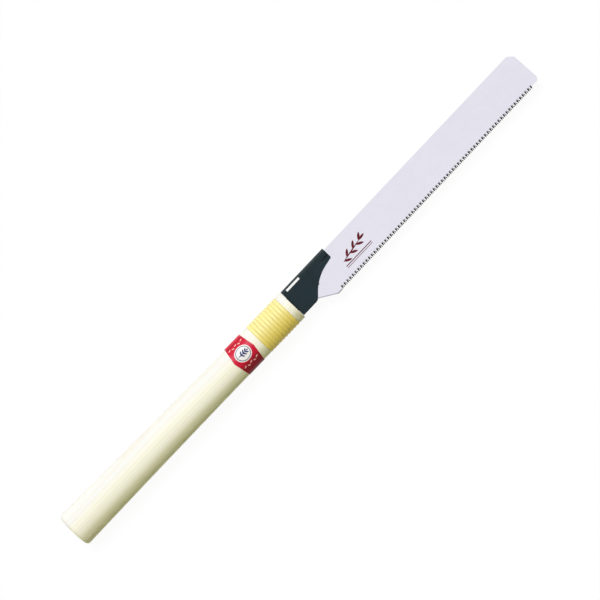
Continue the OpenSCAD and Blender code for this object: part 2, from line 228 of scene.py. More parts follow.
def add_noise(vector, scale=1.0, detail=2.0, rough=0.5):
    """Soft noise with a number of grains per unit of the vector."""
    inputs = {"Vector": vector, "Scale": scale, "Detail": detail, "Roughness": rough}
    return add_node("ShaderNodeTexNoise", inputs)["Fac"]


def add_bump(height, depth):
    """A normal bent by a height from 0 to 1 that stands for a depth in metres."""
    return add_node("ShaderNodeBump", {"Height": height, "Distance": depth})["Normal"]


def split(vector):
    """The three parts of a vector."""
    return add_node("ShaderNodeSeparateXYZ", {0: vector})


def largest(values):
    """The largest of several values."""
    most = values[0]
    for value in values[1:]:
        most = add_sum("MAXIMUM", most, value)
    return most


def new_group(name, inputs, outputs):
    """A shader group with named inputs, vectors or values: its tree, what it is given, and its last node."""
    tree = bpy.data.node_groups.new(name, "ShaderNodeTree")
    for key, value in inputs.items():
        kind = "NodeSocketVector" if isinstance(value, tuple) else "NodeSocketFloat"
        tree.interface.new_socket(key, in_out="INPUT", socket_type=kind).default_value = value
    for key in outputs:
        tree.interface.new_socket(key, in_out="OUTPUT", socket_type="NodeSocketFloat")
    return tree, tree.nodes.new("NodeGroupInput").outputs, tree.nodes.new("NodeGroupOutput")


def new_material(name):
    """A material with one Principled shader, and its tree."""
    material = bpy.data.materials.new(name)
    material.use_nodes = True
    return material, material.node_tree


def finished(material, inputs):
    """The material with these inputs of its shader set or linked."""
    nodes = material.node_tree.nodes
    set_inputs(nodes["Principled BSDF"], inputs)
    print(f"{material.name}: {len(nodes)} nodes")
    return material


# %% [markdown]
# Three effects come up in more than one finish, so each is a node group. Wood and cane show fibres, and
# drawn steel fine lines: noise that is stretched one way. Film, coat and bare steel carry the faint clouds
# that handling leaves: noise of two sizes. Both prints are built from pointed leaves. A group puts out
# only values, and each material decides what they do.

# %% Fibres, clouds and leaves
def place_group(group, **inputs):
    """A group placed in a material with its own values: its outputs."""
    return add_node("ShaderNodeGroup", inputs, node_tree=group)


def fibre_group():
    """Streaks: fine noise, and coarse noise for the tone, both stretched along X."""
    tree, given, result = new_group(
        "fibre_streaks", {"Vector": (0, 0, 0), "Length": 0.03, "Width": 0.0004}, ["Streak", "Tone"]
    )
    along = add_sum("DIVIDE", 1.0, given["Length"])
    across = add_sum("DIVIDE", 1.0, given["Width"])
    scale = add_node("ShaderNodeCombineXYZ", {"X": along, "Y": across, "Z": across})[0]
    stretched = add_vector("MULTIPLY", given["Vector"], scale)[0]
    streak, tone = add_noise(stretched, 1.0, 3.0, 0.6), add_noise(stretched, 0.12, 1.0)
    set_inputs(result, {"Streak": streak, "Tone": tone})
    return tree


def cloud_group():
    """Clouds: broad and small noise added up, then spread to the range 0 to 1."""
    tree, given, result = new_group("handling_clouds", {"Vector": (0, 0, 0), "Size": 0.02}, ["Cloud"])
    broad = add_sum("DIVIDE", 1.0, given["Size"])
    noises = [add_noise(given["Vector"], grains) for grains in (broad, times(broad, 6.0))]
    set_inputs(result, {"Cloud": add_ramp(add_sum("ADD", *noises), 0.7, 1.3)})
    return tree


def leaf_group():
    """A leaf from its foot: at the share t of its length its half width is width * (4 t (1 - t)) ** 0.8."""
    tree, given, result = new_group(
        "leaf_mark",
        {"Point": (0, 0, 0), "Foot": (0, 0, 0), "Turn": 0.0, "Length": 5.0, "Width": 0.6, "Soft": 0.1},
        ["Mask"],
    )
    moved = add_vector("SUBTRACT", given["Point"], given["Foot"])[0]
    turned = {"Vector": moved, "Angle": given["Turn"]}
    part = split(add_node("ShaderNodeVectorRotate", turned, rotation_type="Z_AXIS", invert=True)[0])
    share = add_sum("DIVIDE", part["X"], given["Length"], clamp=True)
    bulge = times(times(share, 4.0), add_sum("SUBTRACT", 1.0, share))
    half = times(add_sum("POWER", bulge, 0.8), given["Width"])
    inside = add_sum("SUBTRACT", half, add_sum("ABSOLUTE", part["Y"]))
    set_inputs(result, {"Mask": add_sum("DIVIDE", inside, given["Soft"], clamp=True)})
    return tree


FIBRES, CLOUDS, LEAF = fibre_group(), cloud_group(), leaf_group()


def object_point(tree):
    """Object coordinates: a point's own place in metres."""
    return add_node("ShaderNodeTexCoord", {}, tree)["Object"]


def facing(tree, axis):
    """How far the surface faces along an axis, from -1 to 1."""
    return split(add_node("ShaderNodeTexCoord", {}, tree)["Normal"])[axis]


def kept_on(tree, name):
    """What a piece keeps on its points under this name."""
    return add_node("ShaderNodeAttribute", {}, tree, attribute_name=name)["Vector"]


def leaf_marks(point, leaves):
    """One mask for several leaves, each given as (foot x, foot y, turn in degrees, length, width)."""
    masks = []
    for *foot, turn, length, width in leaves:
        leaf = {"Foot": (*foot, 0), "Turn": math.radians(turn), "Length": length, "Width": width}
        masks.append(place_group(LEAF, Point=point, **leaf)["Mask"])
    return largest(masks)


print("groups:", [group.name for group in (FIBRES, CLOUDS, LEAF)])

# %% [markdown]
# The handle is a pale softwood, sawn with the grain along it. Its grain could be painted on a picture,
# but a handle is cut out of a log, so its rings are worked out the same way: the distance of each point
# from the heart of the tree, outside the handle, counted in rings. Long lines on the sides and arcs on
# the butt then come by themselves. Towards the heart the wood is yellower and darker, and the heart lies
# off the teeth side, so this is also painted shade on the flank that turns from the lamp. The palest
# sapwood and the cooler bark side are also painted light on the spine side that faces it. Fine fibres run
# along the shaft, and the cut ends are a little darker.

# %% Pale wood
# Where the heart lies makes the wood's tones painted shade and painted light as well as heartwood and
# sapwood.
HEART = (-0.055, -0.035)
SAPWOOD_AND_PAINTED_SHADING, BARK_SIDE_AND_PAINTED_LIGHT = (0.079, 0.084), (0.088, 0.0925)
RING_GAP = 0.0019
RING_SWAY, SWAY_GRAINS = 0.006, (4, 30, 30)


def pale_wood():
    material, tree = new_material("pale_wood")
    point = object_point(tree)
    fibres = place_group(FIBRES, Vector=point, Length=0.045, Width=0.00035)
    sway = add_noise(add_vector("MULTIPLY", point, SWAY_GRAINS)[0])
    across = add_vector("MULTIPLY", point, (0, 1, 1))[0]
    radius = add_vector("DISTANCE", across, (0, *HEART))["Value"]
    radius = add_sum("MULTIPLY_ADD", sway, RING_SWAY, radius)
    rings = add_sum("DIVIDE", radius, RING_GAP)
    cut_end = add_ramp(add_sum("ABSOLUTE", facing(tree, "X")), 0.6, 0.95)
    late = add_ramp(add_sum("FRACT", rings), 0.45, 0.95)
    late = times(late, add_sum("MULTIPLY_ADD", cut_end, 0.4, 0.22))
    # Painted shade and light: yellow heartwood on the flank that turns from the lamp, pale sapwood and a
    # cool bark side on the spine side that faces it.
    heartwood_and_painted_shade = add_mix(fibres["Tone"], (0.82, 0.79, 0.55), (0.78, 0.72, 0.455))
    sapwood_and_painted_light = add_mix(fibres["Tone"], (0.985, 0.945, 0.785), (0.945, 0.885, 0.695))
    colour = add_layers(
        heartwood_and_painted_shade,
        (add_ramp(radius, *SAPWOOD_AND_PAINTED_SHADING), sapwood_and_painted_light),
        (add_ramp(radius, *BARK_SIDE_AND_PAINTED_LIGHT), (0.862, 0.838, 0.79)),
        (late, (0.80, 0.66, 0.44)),
        (add_ramp(fibres["Streak"], 0.35, 0.8, 0.0, 0.16), (0.78, 0.66, 0.45)),
        (times(cut_end, 0.25), (0.72, 0.58, 0.38)),
    )
    return finished(material, {
        "Base Color": colour,
        "Roughness": add_ramp(fibres["Streak"], 0.2, 0.8, 0.50, 0.64),
        "Normal": add_bump(fibres["Streak"], 0.00006),
        "Specular IOR Level": 0.15,
    })


PALE_WOOD = pale_wood()

# %% [markdown]
# The handle is an oval shaft that swells a little towards the butt. A revolve would be the usual tool,
# but this shaft is flattened and has a slot for the tails of the holder in its front face. One grid does
# it all: its rows start at the end of the slot, come forward along the slot's walls, cross the front
# face, run back over the outside with the seat of the winding, and close on the butt.

# %% Where the handle lies
handle_low, handle_high = node_box("handle")
FRONT_X, BUTT_X = handle_high[0], handle_low[0]
AXIS_Y, AXIS_Z = (handle_low[1:] + handle_high[1:]) / 2
HANDLE_LEN = (FRONT_X - BUTT_X) / MM
OVAL = (handle_high[2] - handle_low[2]) / (handle_high[1] - handle_low[1])
FRONT_R, BUTT_R = 15.1, (handle_high[1] - handle_low[1]) / 2 / MM
FRONT_ROUND, BUTT_ROUND = 0.6, 3.2


def handle_r(back):
    """Half the height of the oval behind the front face: it swells with the square of the distance."""
    return FRONT_R + (BUTT_R - FRONT_R) * (back / (HANDLE_LEN - BUTT_ROUND)) ** 2


def handle_place(back, y, z):
    """From mm behind the front face and off the handle's axis to the row frame."""
    return stack(FRONT_X - MM * back, AXIS_Y + MM * y, AXIS_Z + MM * z)


print(f"handle: {HANDLE_LEN:.1f} mm long, {OVAL:.2f} as thick as high, radius {FRONT_R} to {BUTT_R:.2f} mm")

# %% The holder's own axes
HOOK = (6.5, 8.5)
CANT = math.radians(0.7)
PIN_AT = np.array(frame["joints"][0]["pos_m"])


def holder_place(x, y, z):
    """From the holder's axes in mm to the row frame: turned by the cant round the hook pin, the hinge."""
    forward, up = x - HOOK[0], y - HOOK[1]
    return stack(
        PIN_AT[0] + MM * (forward * math.cos(CANT) - up * math.sin(CANT)),
        PIN_AT[1] + MM * (forward * math.sin(CANT) + up * math.cos(CANT)),
        PIN_AT[2] + MM * z,
    )


HOLDER_AT = holder_place(0.0, 0.0, 0.0)
print("back edge of the holder at", HOLDER_AT)

# %% Slot, shaft and butt in one grid
WRAP_START, WRAP_END = 7.0, 42.0
SEAT_DEPTH, SHOULDER = 1.2, 0.35
TAIL_LEN, TAIL_H, TAIL_END_H = 86.0, 15.0, 9.0
SLOT_HALF_T, SLOT_ROOM = 1.7, 0.1
quarter = np.linspace(0, np.pi / 2, 9)
rise, fall = np.sin(quarter), 1 - np.cos(quarter)


def shaft_outline():
    """Rows of the outside as (distance behind the front face, radius): round front edge, bare neck, sunk
    seat between rounded shoulders, long swelling shaft, round of the butt and its flat face."""
    neck = np.linspace(FRONT_ROUND, WRAP_START - SHOULDER, 8)[1:]
    seat = np.linspace(WRAP_START, WRAP_END, 24)
    shaft = np.linspace(WRAP_END + SHOULDER, HANDLE_LEN - BUTT_ROUND, 110)
    face = np.linspace(BUTT_R - BUTT_ROUND, 0, 9)[1:-1]
    stretches = [
        (FRONT_ROUND * fall, FRONT_R - FRONT_ROUND * (1 - rise)),
        (neck, handle_r(neck)),
        (WRAP_START - SHOULDER * (1 - rise[1:]), handle_r(WRAP_START) - SHOULDER * fall[1:]),
        (seat, handle_r(seat) - SEAT_DEPTH),
        (WRAP_END + SHOULDER * fall[:-1], handle_r(WRAP_END) - SHOULDER * (1 - rise[:-1])),
        (shaft, handle_r(shaft)),
        (HANDLE_LEN - BUTT_ROUND * (1 - rise[1:]), BUTT_R - BUTT_ROUND * fall[1:]),
        (HANDLE_LEN, face),
    ]
    return np.concatenate([stack(*stretch) for stretch in stretches])


def slot_rings(turn):
    """Rings of the slot from its end to the front face: a circle's directions, pushed out to a rectangle."""
    reach = 1 / np.maximum(np.abs(np.cos(turn)), np.abs(np.sin(turn)))
    share = np.array([1.0, 0.5, 0.0])[:, None]
    half_h = SLOT_ROOM + TAIL_H / 2 + (TAIL_END_H - TAIL_H) / 2 * share
    rings = holder_place(
        -(TAIL_LEN + SLOT_ROOM) * share, half_h * reach * np.cos(turn), SLOT_HALF_T * reach * np.sin(turn)
    )
    rings[-1, :, 0] = FRONT_X
    return rings


def handle_surface(columns=144):
    """Rings of the handle: the slot from its end forward, then ovals over the outside, front to back."""
    turn = circle(columns)
    back, radius = shaft_outline().T[:, :, None]
    outside = handle_place(back, radius * np.cos(turn), radius * OVAL * np.sin(turn))
    return capped_tube(np.concatenate([slot_rings(turn), outside]))


make_piece("handle_shaft", "handle", "handle_wood", PALE_WOOD, *handle_surface())

# %% [markdown]
# The grip is bound with a split cane strip: round on its outer side where the skin of the cane is, flat
# where it lies on the wood, and lacquered. Its material follows the strip and not the saw, so the grid
# keeps for each point how far along the strip it is and how far across. Fibres run along, the edges are
# painted deeper in tone as painted shade in the valleys between the turns, and every hand's width or so a
# leaf scar crosses the strip. The cane is painted palest towards the spine, as painted light where the lamp
# falls, and deeper towards the teeth, as painted shade where it turns from the lamp.

# %% Lacquered cane
STRIP_W = 3.44
SCAR_GAP = 0.21
# Painted light and shade across the grip: the range of Y over which the cane goes from deep to pale.
CANE_PAINTED_SHADING = (-0.011, 0.012)


def lacquered_cane():
    material, tree = new_material("lacquered_cane")
    strip = kept_on(tree, "strip")
    part = split(strip)
    fibres = place_group(FIBRES, Vector=strip, Length=0.03, Width=0.00028)
    side = add_sum("DIVIDE", add_sum("ABSOLUTE", part["Y"]), STRIP_W / 2 * MM)
    # Painted shade: the strip is darker towards its edges, in the valleys between the turns.
    edge = add_ramp(side, 0.5, 1.0, 0.0, 0.4)
    along = add_sum("FRACT", add_sum("DIVIDE", part["X"], SCAR_GAP))
    scar = add_sum("ABSOLUTE", add_sum("SUBTRACT", along, 0.4))
    scar = add_ramp(scar, 0.0, 0.006, 0.3, 0.0)
    # Painted light and shade: paler on the spine side, where the lamp falls, deeper towards the teeth.
    deep = add_mix(fibres["Tone"], (0.91, 0.71, 0.14), (0.87, 0.64, 0.09))
    painted_lit_side = add_mix(fibres["Tone"], (0.95, 0.86, 0.39), (0.91, 0.79, 0.31))
    colour = add_layers(
        deep,
        (add_ramp(split(object_point(tree))["Y"], *CANE_PAINTED_SHADING), painted_lit_side),
        (add_ramp(fibres["Streak"], 0.4, 0.75, 0.0, 0.4), (0.80, 0.58, 0.12)),
        (largest([edge, scar]), (0.72, 0.51, 0.09)),
    )
    return finished(material, {
        "Base Color": colour,
        "Roughness": add_ramp(fibres["Streak"], 0.3, 0.8, 0.32, 0.46),
        "Normal": add_bump(fibres["Streak"], 0.00004),
        "Specular IOR Level": 0.3,
    })


LACQUERED_CANE = lacquered_cane()

# %% [markdown]
# The winding is one strip, ten turns long. A helix would be the easy path, but the strip is laid square
# to the handle where it shows and steps to its next place underneath, and that is the path here. A round
# section is carried along it, and both ends dive into the wood, as they do when they are tucked in.

# %% Wound strip
TURNS = 10
SOLID_STRIP_W = 3.0
STRIP_T, STRIP_BASE, CROWN = 1.5, 0.1, 0.36
TURN_SHIFT = 0.01
SQUARE_SIDE = 1 / 18
END_TURN = 0.04
TUCK, TUCK_DEPTH = 0.045, 1.7
wrap_low, wrap_high = node_box("grip_wrap")
PITCH = ((wrap_high[0] - wrap_low[0]) / MM - SOLID_STRIP_W) / (TURNS - 1)
FIRST_BACK = (FRONT_X - wrap_high[0]) / MM + SOLID_STRIP_W / 2


def smooth(share):
    """From 0 to 1 with level ends: share squared times (3 - 2 share)."""
    share = np.clip(share, 0, 1)
    return share * share * (3 - 2 * share)


def strip_section(points=22):
    """Section of the strip as (across, out) in mm: a low crown above its widest line, nearly square below.
    Both are a cosine and a sine raised to powers: 1 and 2 make the crown a parabola, small ones a square."""
    angle = circle(points)
    cos, sin = np.cos(angle), np.sin(angle)
    height = np.where(sin > 0, CROWN, 1 - CROWN) * STRIP_T
    out = (1 - CROWN) * STRIP_T + height * np.sign(sin) * np.abs(sin) ** np.where(sin > 0, 2.0, 0.35)
    return STRIP_W / 2 * np.sign(cos) * np.abs(cos) ** np.where(sin > 0, 1.0, 0.35), out


def wound_strip(rings_per_turn=96):
    """Rings of the strip: the seat's oval at each turn, the section set up along the oval's normal."""
    turns = np.linspace(-END_TURN, TURNS - 0.5 + END_TURN, int(rings_per_turn * TURNS))[:, None]
    under = (turns - np.floor(turns) - 0.5 - SQUARE_SIDE) / (0.5 - 2 * SQUARE_SIDE)
    back = FIRST_BACK + PITCH * (np.floor(turns) + smooth(under))
    back = np.where(turns < 0, FIRST_BACK, back)
    seat = handle_r(back) - SEAT_DEPTH
    angle = 2 * np.pi * turns
    normal = np.array([OVAL * np.cos(angle), np.sin(angle)])
    normal /= np.linalg.norm(normal, axis=0)
    ends = np.minimum(turns - turns[0], turns[-1] - turns)
    sunk = TUCK_DEPTH * (1 - smooth(ends / TUCK))
    across, out = strip_section()
    lift = out + STRIP_BASE - sunk
    up, out = seat * np.cos(angle) + lift * normal[0], seat * OVAL * np.sin(angle) + lift * normal[1]
    rings = handle_place(back + across, up, out)
    middle = rings.mean(axis=1)
    along = np.concatenate([[0], np.cumsum(np.linalg.norm(np.diff(middle, axis=0), axis=1))])
    kept = stack(along[:, None], MM * across, np.floor(turns) * TURN_SHIFT).reshape(-1, 3)
    print(f"strip: {along[-1] / MM:.0f} mm long at a pitch of {PITCH:.2f} mm")
    points, faces = capped_tube(rings)
    return points, faces, np.concatenate([kept, kept[[0, -1]]])


make_piece("grip_winding", "grip_wrap", "wrap_strip", LACQUERED_CANE, *wound_strip(), "strip", 45)

# %% [markdown]
# The label is a glossy red film behind the winding. Its artwork is a plain garden design: a sprig of
# bamboo lying in a pale oval, with a row of small leaves on either side of it. A picture could hold it,
# but a shape that is worked out stays sharp from any distance. The film keeps for each point how far it
# is along and round the handle and how far inside the edge, all in mm, and the material draws on those
# numbers. Towards the teeth the red deepens to maroon.

# %% Red film
OVAL_HALF = (8.0, 6.6)
OVAL_MIDDLE = (0.0, 1.4, 0.0)
OVAL_LINE = (0.80, 0.88)
END_LINE = (13.2, 13.9)
DEEP_RED = (-9.5, -2.5)
SPRIG_FOOT, SPRIG_LEN, STEM_W, END_BACK = -6.2, 11.0, 0.48, 1.2
SPRIG_PAIRS = [(-2.6, 50), (-0.2, 45), (2.0, 38)]
END_LEAF, PAIR_LEAF, ROW_LEAF = (2.4, 0.6), (3.6, 0.7), (3.0, 0.6)
LEAF_ROWS = [-8.4, 10.6]
ROW_START, ROW_STEP, ROW_LEAN, ROW_COUNT = -8.2, 3.4, 22, 5


def label_leaves():
    """Leaves of the sprig, a stem with pairs set off both sides, and of the two rows, leaning in turn."""
    sprig = [(SPRIG_FOOT, 0, 0, SPRIG_LEN, STEM_W), (SPRIG_FOOT + SPRIG_LEN - END_BACK, 0, 0, *END_LEAF)]
    sprig += [(foot, 0, side * lean, *PAIR_LEAF) for foot, lean in SPRIG_PAIRS for side in (1, -1)]
    row = [(ROW_START + ROW_STEP * k, ROW_LEAN * (-1) ** k) for k in range(ROW_COUNT)]
    return sprig, [(foot, up, lean, *ROW_LEAF) for up in LEAF_ROWS for foot, lean in row]


def band(value, low, high, soft):
    """1 between low and high with soft sides, and 0 beyond."""
    into = add_ramp(value, low - soft, low + soft)
    return times(into, add_ramp(value, high - soft, high + soft, 1.0, 0.0))


def red_film():
    material, tree = new_material("red_film")
    place = kept_on(tree, "print")
    part = split(place)
    sprig, rows = label_leaves()
    moved = add_vector("SUBTRACT", place, OVAL_MIDDLE)[0]
    inside = add_vector("MULTIPLY", moved, (1 / OVAL_HALF[0], 1 / OVAL_HALF[1], 0))[0]
    inside = add_vector("LENGTH", inside)["Value"]
    cartouche = add_ramp(inside, 0.98, 1.02, 1.0, 0.0)
    outline = band(inside, *OVAL_LINE, 0.02)
    end_line = band(part["Y"], *END_LINE, 0.1)
    deep = add_ramp(part["Y"], *DEEP_RED, 0.85, 0.0)
    ink = times(largest([outline, leaf_marks(moved, sprig)]), cartouche)
    cloud = place_group(CLOUDS, Vector=object_point(tree), Size=0.012)["Cloud"]
    colour = add_layers(
        (0.58, 0.008, 0.032),
        (cloud, (0.65, 0.012, 0.042)),
        (largest([end_line, deep]), (0.22, 0.003, 0.012)),
        (leaf_marks(place, rows), (0.83, 0.52, 0.46)),
        (cartouche, (0.88, 0.84, 0.80)),
        (ink, (0.012, 0.022, 0.12)),
        (add_ramp(part["Z"], 0.0, 0.3, 0.4, 0.0), (0.70, 0.20, 0.19)),
    )
    return finished(material, {
        "Base Color": colour,
        "Roughness": add_ramp(cloud, 0.0, 1.0, 0.30, 0.42),
        "Specular IOR Level": 0.15,
    })


RED_FILM = red_film()

# %% Label round the oval
LABEL_SLANT = 2.9
FILM_UNDER, FILM_OVER = 0.02, 0.3
label_low, label_high = node_box("label")


def label_skin(lift, along, around):
    """Points of the handle's oval at a turn round it and a place along the label, lifted a little."""
    back = (FRONT_X - (label_low[0] + label_high[0]) / 2) / MM - along
    radius = handle_r(back)
    return handle_place(back, (radius + lift) * np.cos(around), (radius * OVAL + lift) * np.sin(around))


def label_surface(rows=121, cols=41):
    """The film from one side of the handle over the top to the other. Its half length shrinks with the
    distance from the middle of the handle, so both edges are slanted."""
    half = (label_high[0] - label_low[0]) / 2 / MM
    radius = handle_r((FRONT_X - label_high[0]) / MM + half)
    dip = math.asin((AXIS_Z - label_low[2]) / MM / (radius * OVAL))
    around = np.linspace(-dip, np.pi + dip, rows)[:, None] + np.zeros(cols)
    reach = half - LABEL_SLANT * np.abs(np.cos(around))
    along = reach * np.linspace(-1, 1, cols)
    girth = radius * (1 + OVAL) / 2 * (np.pi / 2 - around)
    kept = stack(along, girth, reach - np.abs(along)).reshape(-1, 3)
    outer, inner = (label_skin(lift, along, around) for lift in (FILM_OVER, FILM_UNDER))
    points, faces, used = thick_sheet(outer, inner, np.ones((rows - 1, cols - 1), bool))
    return points, faces, kept[used]


make_piece("label_film", "label", "label_film", RED_FILM, *label_surface(), "print")

# %% [markdown]
# The holder is one blank of sheet steel, folded over the spine of the blade and coated black. Cutting it
# from solids leaves knife-sharp edges, so it is made the way it is folded: a flat grid whose rows run from
# the lower edge of one cheek over the fold to the lower edge of the other. The distance of each point to
# the nearest cut edge rounds the sheet off there. The grid keeps that distance, the depth of the pressed
# groove and the turn of the fold, so that the coating knows where it is rubbed thin, where the groove is
# painted nearly black as painted shade, and where the crest of the fold is paled, partly as rubbing and
# partly as a painted highlight. A band of the upper cheek along the fold is painted a little paler, as
# painted light where it faces the lamp.

# %% Satin black coat
# Painted light on the upper cheek towards the fold, in mm of the holder's height.
FOLD_BAND = (11.0, 13.8)
COAT_GRAINS = 2600.0


def satin_black():
    material, tree = new_material("satin_black")
    point = object_point(tree)
    wear = split(kept_on(tree, "wear"))
    cloud = place_group(CLOUDS, Vector=point, Size=0.016)["Cloud"]
    grain = add_noise(point, COAT_GRAINS, 1.0)
    rubbed = add_ramp(add_sum("MULTIPLY_ADD", cloud, 0.25, wear["X"]), 0.08, 0.42, 0.55, 0.0)
    # Partly rubbing, partly a painted highlight: the crest of the fold is paled.
    crest = add_ramp(add_sum("MULTIPLY_ADD", cloud, 0.2, wear["Z"]), 0.25, 0.95, 0.0, 0.3)
    # Painted shade: the pressed groove is darkened by its depth, nearly to black.
    sunk = add_ramp(wear["Y"], 0.02, 0.2, 0.0, 0.9)
    # Painted light: the upper cheek towards the fold, which faces the lamp, is paled.
    fold_band = [PIN_AT[1] + MM * (height - HOOK[1]) for height in FOLD_BAND]
    painted_fold_light = add_ramp(split(point)["Y"], *fold_band, 0.0, 0.12)
    colour = add_layers(
        (0.0008, 0.0093, 0.0115),
        (cloud, (0.0030, 0.0138, 0.0178)),
        (painted_fold_light, (0.09, 0.10, 0.085)),
        (rubbed, (0.035, 0.046, 0.052)),
        (crest, (0.09, 0.105, 0.11)),
        (sunk, (0.001, 0.002, 0.003)),
    )
    return finished(material, {
        "Base Color": colour,
        "Roughness": add_ramp(cloud, 0.0, 1.0, 0.42, 0.54),
        "Normal": add_bump(grain, 0.00002),
        "Specular IOR Level": 0.15,
    })


SATIN_BLACK = satin_black()

# %% Outline of a cheek
SHEET_T, SHEET_GAP = 1.2, 0.8
HOLDER_LEN, HOLDER_TOP = 52.7, 15.0
CHEEK_LOW, NOSE_LOW = -13.4, 4.2
FOOT_LEN = 17.7
RISE, NOSE_RISE = math.radians(44), math.radians(10.5)
BACK_ROUND, FOOT_ROUND, BEND_ROUND, NOSE_ROUND = 0.6, 5.0, 42.0, 1.6
PIP_X, PIP_R, PIP_PROUD = 28.3, 1.1, 0.5


def turn_arc(corner, before, after, radius, steps=14):
    """Points of the arc that rounds off a corner between two directions of travel."""
    side = np.sign(after - before)
    tangent = radius * math.tan(abs(after - before) / 2)
    start = np.array(corner) - tangent * heading(before)
    centre = start + side * radius * heading(before + math.pi / 2)
    return centre + side * radius * heading(np.linspace(before, after, steps) - math.pi / 2)


def cheek_low(x):
    """Lower edge of a cheek at x: flat foot, steep rise, long bend and gentle nose, with a pip on the bend.
    The pip's middle lies in the cheek, on a circle about the bend's own middle."""
    bend_x = (NOSE_LOW - CHEEK_LOW + FOOT_LEN * math.tan(RISE) - HOLDER_LEN * math.tan(NOSE_RISE))
    bend_x /= math.tan(RISE) - math.tan(NOSE_RISE)
    bend = (bend_x, CHEEK_LOW + (bend_x - FOOT_LEN) * math.tan(RISE))
    way = np.concatenate([
        turn_arc((0, CHEEK_LOW), -math.pi / 2, 0, BACK_ROUND),
        turn_arc((FOOT_LEN, CHEEK_LOW), 0, RISE, FOOT_ROUND),
        turn_arc(bend, RISE, NOSE_RISE, BEND_ROUND, 30),
        turn_arc((HOLDER_LEN, NOSE_LOW), NOSE_RISE, math.pi / 2, NOSE_ROUND),
    ])
    edge = np.interp(x, way[:, 0], way[:, 1])
    mean, half = (RISE + NOSE_RISE) / 2, (RISE - NOSE_RISE) / 2
    middle = np.array(bend) + BEND_ROUND / math.cos(half) * heading(mean - math.pi / 2)
    turn = math.acos((PIP_X - middle[0]) / BEND_ROUND)
    pip_x, pip_y = middle + (BEND_ROUND + PIP_R - PIP_PROUD) * heading(turn)
    pip = pip_y - np.sqrt(np.maximum(PIP_R ** 2 - (x - pip_x) ** 2, 0))
    return np.where(np.abs(x - pip_x) < PIP_R, np.minimum(edge, pip), edge)


print("lower edge at 0, 10, 20 ... 50 mm:", cheek_low(np.arange(0, 60, 10.0)).round(2))

# %% Rows and columns of the blank
FOLD_R = (SHEET_GAP + SHEET_T) / 2
FOLD_Y = HOLDER_TOP - FOLD_R - SHEET_T / 2
WINDOW_X, WINDOW_Y = (4.8, 20.4), (11.1, 13.1)
GROOVE_Y, GROOVE_R, GROOVE_LEN, GROOVE_DEPTH = 7.5, 1.2, 12.4, 0.8
EDGE_R = 0.28
near_edge = np.array([0, 0.04, 0.1, 0.18, EDGE_R])
PAST_BACK, BY_WINDOW, BEFORE_PIP, PAST_PIP = 0.5, 0.6, 0.2, 0.05
GROOVE_BAND = 1.3
GROOVE_ROWS = GROOVE_Y + np.linspace(-GROOVE_BAND, GROOVE_BAND, 27)


def blank_columns():
    """Places along the blank: close together at its ends, at the ends of the window and along the pip."""
    rear, front = WINDOW_X
    return np.concatenate([
        np.linspace(-TAIL_LEN, 0, 18)[:-1], near_edge, np.linspace(PAST_BACK, rear - BY_WINDOW, 8),
        rear - near_edge[::-1], np.linspace(rear, front, 18)[1:-1], front + near_edge,
        np.linspace(front + BY_WINDOW, PIP_X - PIP_R - BEFORE_PIP, 9),
        np.linspace(PIP_X - PIP_R, PIP_X + PIP_R, 25),
        np.linspace(PIP_X + PIP_R + PAST_PIP, HOLDER_LEN - NOSE_ROUND, 30),
        HOLDER_LEN - NOSE_ROUND + (NOSE_ROUND - EDGE_R) * np.linspace(0, 1, 9)[1:-1],
        HOLDER_LEN - near_edge[::-1],
    ])


def cheek_rows(x):
    """Heights of a cheek's rows at each x: they follow the lower edge, then level out by the groove."""
    low = cheek_low(np.maximum(x, 0))
    first, top = low[0] + EDGE_R, GROOVE_ROWS[0]
    tail = (-TAIL_H / 2 - first) / (top - first)
    share = np.concatenate([np.linspace(0, tail, 8)[1:], np.linspace(tail, 1, 20)[1:-1]])[:, None]
    level = np.concatenate([
        GROOVE_ROWS, np.linspace(GROOVE_ROWS[-1], WINDOW_Y[0] - EDGE_R, 6)[1:-1],
        WINDOW_Y[0] - near_edge[::-1], np.linspace(*WINDOW_Y, 6)[1:-1], WINDOW_Y[1] + near_edge, [FOLD_Y],
    ])[:, None]
    return np.concatenate([
        low + near_edge[:, None], (low + EDGE_R) * (1 - share) + top * share, level + np.zeros(len(x))
    ])


print("rows and columns of a cheek:", cheek_rows(blank_columns()).shape)

# %% [markdown]
# With its rows and columns placed, the blank is bent: the rows of the cheeks stay flat, half a fold apart,
# and the rows between them turn half a circle. Both skins then stand off this middle sheet by half its
# thickness, less what the rounded edges and the pressed groove take away. Cells in the windows are left
# out, and behind the back edge only the cells of the two tails stay.

# %% Folded sheet
def tail_share(x):
    """Height of a tail as a share of its height at the back edge: it tapers evenly to its end."""
    return 1 + (TAIL_END_H / TAIL_H - 1) * np.clip(-x / TAIL_LEN, 0, 1)


def beyond(value, ends):
    """How far a value lies outside a range, 0 inside it."""
    return np.maximum(np.maximum(ends[0] - value, value - ends[1]), 0)


def edge_distance(x, y, fold):
    """Distance along the sheet to the nearest cut edge: lower, front, back or tail edge, or the window."""
    slope = np.gradient(y[0], x[0])
    lower = np.where(x > 0, (y - y[0]) / np.sqrt(1 + slope ** 2), np.inf)
    beside = TAIL_H / 2 * tail_share(x) - np.abs(y)
    back = np.where(beside > 0, np.hypot(x, beside), x)
    back = np.where(x < 0, np.minimum(beside, x + TAIL_LEN), back)
    back = np.where(fold > 0, x, back)
    unrolled = np.where(fold > 0, FOLD_Y + FOLD_R * np.minimum(fold, np.pi - fold), y)
    window = np.hypot(beyond(x, WINDOW_X), beyond(unrolled, WINDOW_Y))
    return np.maximum(np.minimum(np.minimum(lower, HOLDER_LEN - x), np.minimum(back, window)), 0)


